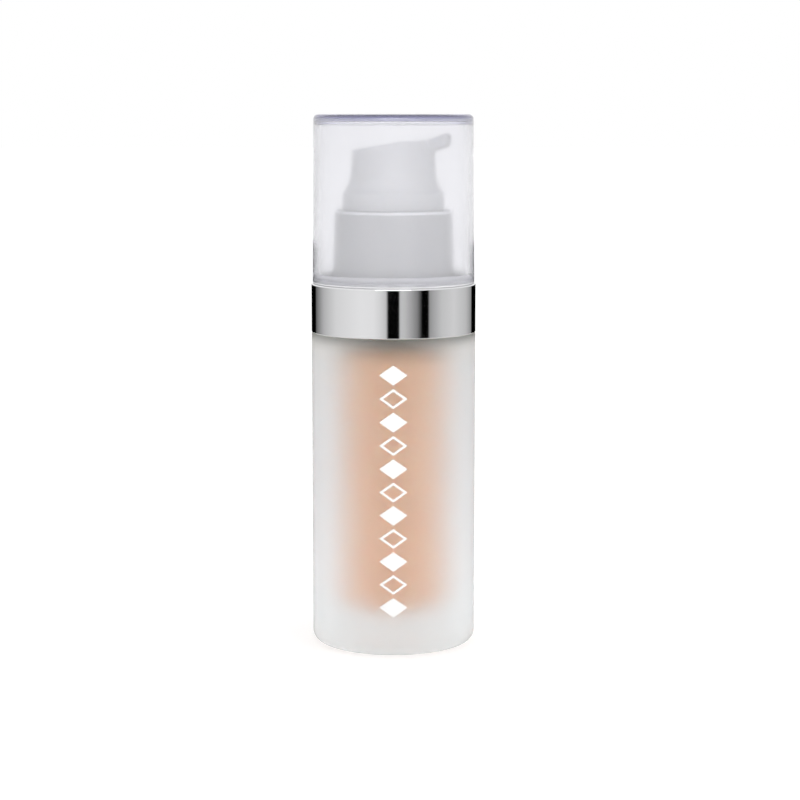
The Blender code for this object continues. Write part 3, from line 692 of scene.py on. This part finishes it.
def closure_body(material):
    """Screw cap: threaded sleeve, ribbed outer skirt, deck with the overcap's seat ring, and roof."""
    bottom = CLOSURE_LOW[2]
    roof_top = CLOSURE_HIGH[2]
    roof_z = roof_top - 1.4 * MM
    deck = COLLAR_TOP_Z - 0.7 * MM
    deck_under = deck - 1.5 * MM
    skirt = CLOSURE_HIGH[0]
    skirt_inner = skirt - 1.0 * MM
    sleeve = 11.5 * MM
    tower = 11.9 * MM
    bore = 10.05 * MM
    hole = 6.9 * MM
    seat_outer = 16.6 * MM
    seat_inner = 15.6 * MM
    seat_top = COLLAR_TOP_Z + 1.8 * MM
    edge = 0.3 * MM
    chamfer = 0.2 * MM
    root = 0.4 * MM
    profile = [(hole, roof_top - chamfer), (hole + chamfer, roof_top)]
    profile += arc((tower - edge, roof_top - edge), edge, 90, 0, 5)
    profile += arc((tower + root, deck + root), root, 180, 270, 5)
    profile += [(seat_inner, deck)]
    profile += arc((seat_inner + edge, seat_top - edge), edge, 180, 90, 5)
    profile += arc((seat_outer - edge, seat_top - edge), edge, 90, 0, 5)
    profile += [(seat_outer, deck)]
    profile += arc((skirt - edge, deck - edge), edge, 90, 0, 5)
    profile += [(skirt, bottom), (skirt_inner, bottom), (skirt_inner, deck_under)]
    profile += [(sleeve, deck_under), (sleeve, bottom), (bore, bottom), (bore, roof_z), (hole, roof_z)]
    closure = settle(turned("closure_body", profile))
    combine(closure, thread(9.95 * MM, 0.75 * MM, THREAD_START_Z - THREAD_PITCH / 2), "UNION")
    ribs = 12
    first_rib = 0.37
    rib_foot = bottom + 1.0 * MM
    rib_size = Vector((skirt_inner - sleeve + 0.6 * MM, 0.8 * MM, deck - 1.2 * MM - rib_foot))
    middle = Vector(((skirt_inner + sleeve) / 2, 0.0, rib_foot + rib_size.z / 2))
    for index in range(ribs):
        rib = box_solid("rib", rib_size, middle)
        rib.data.transform(Matrix.Rotation(2.0 * math.pi * (index + first_rib) / ribs, 4, "Z"))
        combine(closure, rib, "UNION")
    piece(closure, "closure", "white_plastic", material, "threaded_closure")


def tower_shroud(material, painted_highlight_material):
    """Tapered tube around the button, with a full round rim whose outer curve carries a painted
    highlight, and a small step at the deck.
    """
    base_z = SHROUD_LOW[2]
    base = SHROUD_HIGH[0]
    top = 13.5 * MM
    wall = 1.0 * MM
    rim = 1.1 * MM
    step = 0.25 * MM
    lip = 0.25 * MM
    opening = 12.05 * MM
    profile = [(opening + lip, SHROUD_TOP_Z)]
    profile += arc((top - rim, SHROUD_TOP_Z - rim), rim, 90, 0, 12)
    profile += [(base - step, base_z + 1.2 * MM), (base, base_z + 1.0 * MM), (base, base_z)]
    profile += [(base - wall, base_z), (top - wall, SHROUD_TOP_Z - 1.5 * MM)]
    profile += [(opening, SHROUD_TOP_Z - 1.0 * MM)]
    profile += arc((opening + lip, SHROUD_TOP_Z - lip), lip, 180, 110, 5)
    shroud = settle(turned("tower_shroud", profile))
    piece(shroud, "closure", "white_plastic", material, "pump_shroud")
    shroud.data.materials.append(painted_highlight_material)
    # Painted highlight: a band of faces on the rim's outer curve gets a brighter, glossier white
    # plastic.
    for polygon in shroud.data.polygons:
        centre = polygon.center
        in_band = SHROUD_TOP_Z - 0.75 * MM < centre.z < SHROUD_TOP_Z - 0.2 * MM
        if in_band and math.hypot(centre.x, centre.y) > top - rim:
            polygon.material_index = 1


# ---------------------------------------------------------------- overcap


def milky_overcap():
    """Cup upside down: thick flat top, rounded corner, tapered wall, snap bead, rim and gate mark."""
    wall = 1.5 * MM
    corner = 1.2 * MM
    fillet = 1.0 * MM
    outer_edge = 0.25 * MM
    inner_edge = 0.3 * MM
    bead = 16.95 * MM
    bead_edge = 0.35 * MM
    painted_light_z = CAP_RIM_Z + 2.3 * MM
    top_radius = 18.4 * MM
    rim_radius = CAP_HIGH[0]
    inner_top = CAP_TOP_Z - wall
    gate_z = inner_top - 0.25 * MM
    profile = [(0.0, CAP_TOP_Z)]
    profile += arc((top_radius - corner, CAP_TOP_Z - corner), corner, 90, 0, 12)
    profile += arc((rim_radius - outer_edge, CAP_RIM_Z + outer_edge), outer_edge, 0, -90, 6)
    profile += arc((rim_radius - wall + inner_edge, CAP_RIM_Z + inner_edge), inner_edge, -90, -150, 4)
    profile += arc((bead + bead_edge, CAP_RIM_Z + 0.85 * MM), bead_edge, 225, 135, 6)
    profile += [(rim_radius - wall, CAP_RIM_Z + 1.7 * MM), (rim_radius - wall, painted_light_z)]
    profile += arc((top_radius - wall - fillet, inner_top - fillet), fillet, 0, 90, 10)
    profile += [(1.3 * MM, inner_top), (1.1 * MM, gate_z), (0.0, gate_z)]
    cap = settle(turned("milky_overcap", profile, FINEST))
    piece(cap, "overcap", "milky_plastic", milky_plastic(), "overcap")
    # Painted light: the rim and the bead, below the height set above, get a whiter and less clear
    # plastic.
    cap.data.materials.append(painted_light_rim())
    for polygon in cap.data.polygons:
        if polygon.center.z < painted_light_z:
            polygon.material_index = 1


# ---------------------------------------------------------------- button

BUTTON_Z = BUTTON_LOW[2] + 1.6 * MM
BUTTON_RADIUS = 9.35 * MM
SKIRT_RADIUS = 11.7 * MM
BUTTON_WALL = 1.2 * MM
BUTTON_CEILING_Z = BUTTON_Z + 13.3 * MM
NOZZLE_REACH = 13.3 * MM
NOZZLE_TOP_Z = BUTTON_Z + 20.3 * MM
NOZZLE_TURN = math.radians(-20.0)
ELBOW_Z = BUTTON_Z + 13.7 * MM
STEM_TOP_Z = NECK_TOP_Z + 17.5 * MM
UP = Vector((0.0, 0.0, 1.0))


def push_button(material):
    """Flared button with a swept, dished top and a side nozzle, all its edges softly blended."""
    button = button_blank()
    combine(button, beak(), "UNION")
    cut_top(button)
    hollow_out(button)
    blend_edges(button)
    drill_outlet(button)
    button.data.transform(Matrix.Rotation(NOZZLE_TURN, 4, "Z"))
    piece(button, "actuator", "white_plastic", material, "actuator")


def button_blank():
    """Solid button up to above its top: flange, skirt, flare and waist."""
    flange = 12.15 * MM
    flare = 7.2 * MM
    flare_z = BUTTON_Z + 11.5 * MM
    top = NOZZLE_TOP_Z + 2.0 * MM
    profile = [(0.0, top), (BUTTON_RADIUS - 0.2 * MM, top)]
    profile += arc((BUTTON_RADIUS + 0.4 * MM + flare, flare_z), flare, 180, 222, 16)
    profile += [(SKIRT_RADIUS, BUTTON_Z + 5.7 * MM), (SKIRT_RADIUS, BUTTON_Z + 0.9 * MM)]
    profile += [(flange, BUTTON_Z + 0.6 * MM), (flange, BUTTON_Z), (0.0, BUTTON_Z)]
    return settle(turned("push_button", profile, BUTTON_FACETS))


def beak():
    """Tapered bar from inside the button out to the nozzle's mouth."""
    root = 3.0 * MM
    width = 6.4 * MM
    height = 3.1 * MM
    root_drop = 3.4 * MM
    mouth_share = 0.72
    length = NOZZLE_REACH - root
    centre = Vector((root + length / 2, 0.0, NOZZLE_TOP_Z - height / 2))
    bar = box_solid("beak", (length, width, height), centre)
    for vertex in bar.data.vertices:
        if vertex.co.x > centre.x:
            vertex.co.y *= mouth_share
        elif vertex.co.z < centre.z:
            vertex.co.z -= root_drop
    bevel = bar.modifiers.new("Round", "BEVEL")
    bevel.width = 0.9 * MM
    bevel.segments = 6
    return settle(bar)


def cut_top(button):
    """Cuts the slanted top with a wide cylinder, and the finger's dish with a sphere."""
    sweep_radius = 200.0 * MM
    sweep_facets = 1024
    centre = Vector((-34.0 * MM, 0.0, BUTTON_Z + 214.7 * MM))
    reach = Vector((0.0, 30.0 * MM, 0.0))
    sweep = rod_solid("sweep", sweep_radius, centre - reach, centre + reach, sweep_facets)
    combine(button, sweep, "DIFFERENCE")
    dish_radius = 30.0 * MM
    place = Matrix.Translation((-1.0 * MM, 0.0, BUTTON_Z + 46.85 * MM))
    shape = bmesh.new()
    bmesh.ops.create_uvsphere(shape, u_segments=128, v_segments=256, radius=dish_radius, matrix=place)
    combine(button, mesh_object("dish", shape), "DIFFERENCE")


def hollow_out(button):
    """Opens the underside, and leaves the boss that holds the stem."""
    boss_radius = 4.3 * MM
    below = BUTTON_Z - 1.0 * MM
    wall = SKIRT_RADIUS - BUTTON_WALL
    profile = [(0.0, BUTTON_CEILING_Z), (BUTTON_RADIUS - BUTTON_WALL, BUTTON_CEILING_Z)]
    profile += [(BUTTON_RADIUS - 1.1 * MM, BUTTON_Z + 10.0 * MM), (wall, BUTTON_Z + 3.5 * MM)]
    profile += [(wall, below), (0.0, below)]
    combine(button, turned("hollow", profile, BUTTON_FACETS), "DIFFERENCE")
    boss = rod_solid("boss", boss_radius, UP * BUTTON_LOW[2], UP * (BUTTON_CEILING_Z + 0.5 * MM))
    combine(button, boss, "UNION")


def blend_edges(button):
    """Remeshes and softens the button, and lays its underside flat again."""
    remesh = button.modifiers.new("Blend", "REMESH")
    remesh.mode = "VOXEL"
    remesh.voxel_size = 0.22 * MM
    soften = button.modifiers.new("Soften", "SMOOTH")
    soften.factor = 0.5
    soften.iterations = 6
    settle(button)
    near = 0.12 * MM
    for vertex in button.data.vertices:
        if abs(vertex.co.z - BUTTON_Z) < near:
            vertex.co.z = BUTTON_Z


def drill_outlet(button):
    """Socket for the stem, riser above it, and the slanted bore out to the nozzle's mouth."""
    overlap = 0.3 * MM
    elbow = UP * ELBOW_Z
    mouth = Vector((NOZZLE_REACH + 1.0 * MM, 0.0, NOZZLE_TOP_Z - 1.3 * MM))
    socket = rod_solid("socket", 2.9 * MM, UP * (BUTTON_LOW[2] - 1.0 * MM), UP * (STEM_TOP_Z + overlap))
    combine(button, socket, "DIFFERENCE")
    combine(button, rod_solid("riser", 1.2 * MM, UP * STEM_TOP_Z, elbow + UP * overlap), "DIFFERENCE")
    combine(button, rod_solid("orifice", 0.85 * MM, elbow, mouth), "DIFFERENCE")


# ---------------------------------------------------------------- pump


def pump_piece(name, profile, body, slot, material, node):
    """Turned pump part whose profile is in millimetres from the neck's sealing face."""
    points = [(radius * MM, NECK_TOP_Z + height * MM) for radius, height in profile]
    return piece(settle(turned(name, points, MEDIUM)), body, slot, material, node)


def pump_barrel(material):
    """Pump cylinder: flange, bore, slotted spring seat, ball chamber, nipple and a vent hole."""
    seat = -26.2
    profile = [(4.3, 2.3), (4.5, 2.5)] + arc((9.1, 2.3), 0.2, 90, 0, 3) + arc((9.1, 1.6), 0.2, 0, -90, 3)
    profile += [(5.4, 1.4), (5.4, seat - 1.2), (3.4, seat - 3.4), (3.4, -34.6), (3.1, -34.9)]
    profile += [(2.25, -34.9), (2.25, -31.4), (1.1, -31.4), (1.1, -30.9), (2.0, -29.7)]
    profile += [(2.0, seat - 0.6), (1.35, seat - 0.5), (1.35, seat), (4.3, seat)]
    barrel = pump_piece("pump_barrel", profile, "pump", "natural_plastic", material, "pump_housing")
    slot_place = Matrix.Translation((0.0, 0.0, NECK_TOP_Z + (seat - 0.27) * MM))
    for turn in (0.0, math.pi / 2):
        slot_cut = box_solid("slot", (4.4 * MM, 0.9 * MM, 0.75 * MM), Vector((0.0, 0.0, 0.0)))
        slot_cut.data.transform(slot_place @ Matrix.Rotation(turn, 4, "Z"))
        combine(barrel, slot_cut, "DIFFERENCE")
    vent_start = Vector((3.0 * MM, 0.0, NECK_TOP_Z - 6.0 * MM))
    vent_end = Vector((7.0 * MM, 0.0, NECK_TOP_Z - 6.0 * MM))
    combine(barrel, rod_solid("vent", 0.4 * MM, vent_start, vent_end, 24), "DIFFERENCE")


def guide_sleeve(material):
    profile = [(4.5, 5.3), (4.7, 5.5)] + arc((6.2, 5.2), 0.3, 90, 0, 5)
    profile += [(6.5, 2.8), (3.95, 2.8), (3.95, -2.1), (3.0, -2.1), (3.0, 3.9), (4.5, 3.9)]
    pump_piece("guide_sleeve", profile, "pump", "natural_plastic", material, "chaplet")


def seal_rings(rubber):
    """Ring around the stem, and the gasket between the neck and the pump's flange."""
    seal = arc((3.15, 4.9), 0.2, 180, 90, 4) + arc((4.0, 4.9), 0.2, 90, 0, 4) + [(4.2, 4.2), (2.95, 4.2)]
    pump_piece("stem_seal_ring", seal, "pump", "seal_rubber", rubber, "stem_seal")
    gasket = arc((7.0, 0.9), 0.2, 180, 90, 4) + arc((8.4, 0.9), 0.2, 90, 0, 4)
    gasket += arc((8.4, 0.5), 0.2, 0, -90, 4) + arc((7.0, 0.5), 0.2, -90, -180, 4)
    pump_piece("neck_gasket_ring", gasket, "pump", "seal_rubber", rubber, "neck_gasket")


def intake_tube(material):
    """Dip tube with its lower end cut at a slant."""
    end_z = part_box("dip_tube")[0][2]
    top_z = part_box("dip_tube")[1][2]
    bore = 1.25 * MM
    outside = 1.95 * MM
    slant = math.radians(32.0)
    depth = 8.0 * MM
    profile = [(bore, top_z), (outside, top_z), (outside, end_z), (bore, end_z)]
    tube = settle(turned("intake_tube", profile, MEDIUM))
    wedge = box_solid("wedge", (12.0 * MM, 8.0 * MM, depth), Vector((0.0, 0.0, -depth / 2)))
    wedge.data.transform(Matrix.Translation((1.5 * MM, 0.0, end_z)) @ Matrix.Rotation(slant, 4, "Y"))
    combine(tube, wedge, "DIFFERENCE")
    piece(tube, "pump", "natural_plastic", material, "dip_tube")


def stem_and_rod(material):
    """Hollow stem, and the rod below it with its conical valve head and crossed side ports."""
    stem = [(1.3, 17.5), (2.3, 17.5), (2.6, 17.2), (2.6, -2.3), (2.0, -2.3), (2.0, 1.2), (1.3, 1.2)]
    pump_piece("hollow_stem", stem, "actuator", "natural_plastic", material, "outlet_stem")
    rod = [(0.85, 0.9), (1.5, 0.9), (1.7, 0.7), (1.7, -10.2), (3.4, -11.5)]
    rod += arc((3.0, -12.0), 0.4, 0, -90, 5) + [(0.0, -12.4), (0.0, -9.8), (0.85, -9.8)]
    valve_rod = pump_piece("valve_rod", rod, "actuator", "natural_plastic", material, "piston_rod")
    centre = Vector((0.0, 0.0, NECK_TOP_Z - 9.3 * MM))
    for side in (Vector((1.0, 0.0, 0.0)), Vector((0.0, 1.0, 0.0))):
        reach = side * 2.5 * MM
        combine(valve_rod, rod_solid("port", 0.4 * MM, centre - reach, centre + reach, 24), "DIFFERENCE")


def double_lip_piston(material):
    top = -3.4
    end = -10.0
    profile = [(2.0, top), (2.9, top), (3.2, top - 0.8), (3.6, top - 0.2), (4.0, top - 0.2)]
    profile += [(4.0, top - 0.7), (3.5, top - 1.6), (3.5, end + 1.7), (4.0, end + 0.7), (4.0, end + 0.2)]
    profile += [(3.6, end + 0.2), (3.2, end + 0.9), (2.9, end + 0.3), (2.5, end), (2.0, end)]
    pump_piece("double_lip_piston", profile, "piston", "natural_plastic", material, "piston")


def valve_ball(steel):
    low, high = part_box("inlet_ball")
    middle = Matrix.Translation((Vector(low) + Vector(high)) / 2)
    shape = bmesh.new()
    bmesh.ops.create_icosphere(shape, subdivisions=5, radius=(high[2] - low[2]) / 2, matrix=middle)
    ball = mesh_object("valve_ball", shape)
    ball.data.shade_smooth()
    piece(ball, "ball", "spring_steel", steel, "inlet_ball")


def coil_spring(steel):
    """Return spring with closed end turns. Its foot stays on the seat."""
    wire = 0.3 * MM
    winding = 3.0 * MM
    turns = 7
    low = SPRING_LOW[2] + wire
    rise = SPRING_HIGH[2] - wire - low
    flat = 2.2 * wire
    pitch = (rise - 2.0 * flat) / (turns - 2)

    def height(turn):
        if turn < 1.0:
            return low + flat * turn
        if turn > turns - 1.0:
            return low + rise - flat * (turns - turn)
        return low + flat + pitch * (turn - 1.0)

    spring = coil("coil_spring", winding, turns, height, wire, 48)
    settle(spring, 60.0)
    piece(spring, "pump", "spring_steel", steel, "return_spring")
    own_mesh(spring)


# ---------------------------------------------------------------- studio

# Grey of the reflector wall by its angle in degrees from the camera's side, positive to the right.
REFLECTOR = (
    (-180, 0.0), (-138, 0.0), (-136, 0.14), (-128, 0.26), (-111, 0.56), (-85, 0.83), (-45, 0.97),
    (-27, 0.95), (-19, 0.85), (-10, 0.68), (-7, 0.0), (7, 0.0), (9, 0.68), (15, 0.64), (32, 0.28),
    (39, 0.0), (48, 0.0), (50, 0.38), (69, 0.68), (91, 0.79), (119, 0.62), (137, 0.32), (139, 0.0),
    (180, 0.0),
)


def reflector_wall():
    """Round wall of grey panels and black flags that only glossy surfaces see."""
    segments = 360
    radius = 0.32
    wall_height = 0.075
    shape = bmesh.new()
    rings = []
    for height in (0.0, wall_height):
        ring = []
        for index in range(segments):
            angle = 2.0 * math.pi * index / segments
            ring.append(shape.verts.new((radius * math.cos(angle), radius * math.sin(angle), height)))
        rings.append(ring)
    for index in range(segments):
        following = (index + 1) % segments
        shape.faces.new((rings[0][index], rings[0][following], rings[1][following], rings[1][index]))
    wall = mesh_object("reflector_wall", shape)
    wall.data.materials.append(reflector_panels())
    wall.visible_camera = False
    wall.visible_diffuse = False
    wall.visible_transmission = False
    wall.visible_volume_scatter = False
    wall.visible_shadow = False


def reflector_panels():
    """Glowing greys of REFLECTOR, placed by the angle around the object."""
    material = bpy.data.materials.new("reflector_panels")
    material.use_nodes = True
    nodes = material.node_tree.nodes
    links = material.node_tree.links
    nodes.clear()
    coordinates = nodes.new("ShaderNodeTexCoord")
    separate = nodes.new("ShaderNodeSeparateXYZ")
    links.new(coordinates.outputs["Object"], separate.inputs["Vector"])
    away = nodes.new("ShaderNodeMath")
    away.operation = "MULTIPLY"
    away.inputs[1].default_value = -1.0
    links.new(separate.outputs["Y"], away.inputs[0])
    angle = nodes.new("ShaderNodeMath")
    angle.operation = "ARCTAN2"
    links.new(separate.outputs["X"], angle.inputs[0])
    links.new(away.outputs["Value"], angle.inputs[1])
    share = nodes.new("ShaderNodeMapRange")
    share.inputs["From Min"].default_value = -math.pi
    share.inputs["From Max"].default_value = math.pi
    links.new(angle.outputs["Value"], share.inputs["Value"])
    ramp = nodes.new("ShaderNodeValToRGB")
    fill_ramp(ramp.color_ramp, [((degrees + 180.0) / 360.0, (grey,) * 3) for degrees, grey in REFLECTOR])
    links.new(share.outputs["Result"], ramp.inputs["Fac"])
    emission = nodes.new("ShaderNodeEmission")
    links.new(ramp.outputs["Color"], emission.inputs["Color"])
    output = nodes.new("ShaderNodeOutputMaterial")
    links.new(emission.outputs["Emission"], output.inputs["Surface"])
    return material


def floor_and_world():
    """Pale floor with a faint glow of its own, under an even white sky."""
    bpy.ops.mesh.primitive_plane_add(size=12.0)
    floor = bpy.context.object
    floor.name = "pale_floor"
    shader = Shader("pale_floor", (0.90, 0.90, 0.90), 0.9, Emission_Strength=0.2)
    shader.principled.inputs["Emission Color"].default_value = (1.0, 1.0, 1.0, 1.0)
    shader.principled.inputs["Specular IOR Level"].default_value = 0.0
    floor.data.materials.append(shader.material)
    world = bpy.data.worlds.new("white_studio")
    world.use_nodes = True
    background = world.node_tree.nodes["Background"]
    background.inputs["Color"].default_value = (1.0, 1.0, 1.0, 1.0)
    background.inputs["Strength"].default_value = 1.0
    bpy.context.scene.world = world


def soft_light(name, place, size, power):
    """Rectangular lamp aimed at the bottle's middle."""
    aim = Vector((0.0, 0.0, 0.07))
    data = bpy.data.lights.new(name, "AREA")
    data.shape = "RECTANGLE"
    data.size = size[0]
    data.size_y = size[1]
    data.energy = power
    lamp = link(bpy.data.objects.new(name, data))
    lamp.location = place
    lamp.rotation_euler = (aim - Vector(place)).to_track_quat("-Z", "Y").to_euler()
    return lamp


def lights():
    """A softbox from the right, and a strip above the camera that shows only in gloss."""
    softbox = soft_light("side_softbox", (0.3, -0.3, 0.45), (0.4, 0.4), 0.4)
    softbox.visible_glossy = False
    strip = soft_light("highlight_strip", (0.0, -0.42, 0.30), (0.4, 0.08), 1.2)
    strip.visible_diffuse = False


def camera():
    """Looks down by about 8 degrees from just above the overcap's top, with the bottle a little left."""
    distance = 0.5
    eye_z = 0.1247
    pitch = math.radians(7.74)
    side = 0.0015
    data = bpy.data.cameras.new("camera")
    data.sensor_width = 36.0
    data.lens = 97.26
    view = link(bpy.data.objects.new("camera", data))
    view.location = (side, -distance, eye_z)
    view.rotation_euler = (math.pi / 2 - pitch, 0.0, 0.0)
    bpy.context.scene.camera = view


def main():
    camera()
    floor_and_world()
    reflector_wall()
    lights()
    bpy.context.scene.view_settings.view_transform = "Standard"

    button_white = white_plastic("button_plastic", 0.77, 0.34)
    # The closure and the shroud are given a darker grey than the button.
    closure_white = white_plastic("closure_plastic", 0.64, 0.2)
    # A brighter, glossier copy of the white plastic, which paints a highlight on the shroud's rim.
    painted_highlight_white = white_plastic("painted_highlight_rim", 0.93, 0.1)
    natural = natural_plastic()
    rubber = seal_rubber()
    steel = spring_steel()
    glass_bottle()
    liquid_foundation()
    front_print()
    metal_collar()
    closure_body(closure_white)
    tower_shroud(closure_white, painted_highlight_white)
    milky_overcap()
    push_button(button_white)
    pump_barrel(natural)
    guide_sleeve(natural)
    seal_rings(rubber)
    intake_tube(natural)
    stem_and_rod(natural)
    double_lip_piston(natural)
    valve_ball(steel)
    coil_spring(steel)


main()
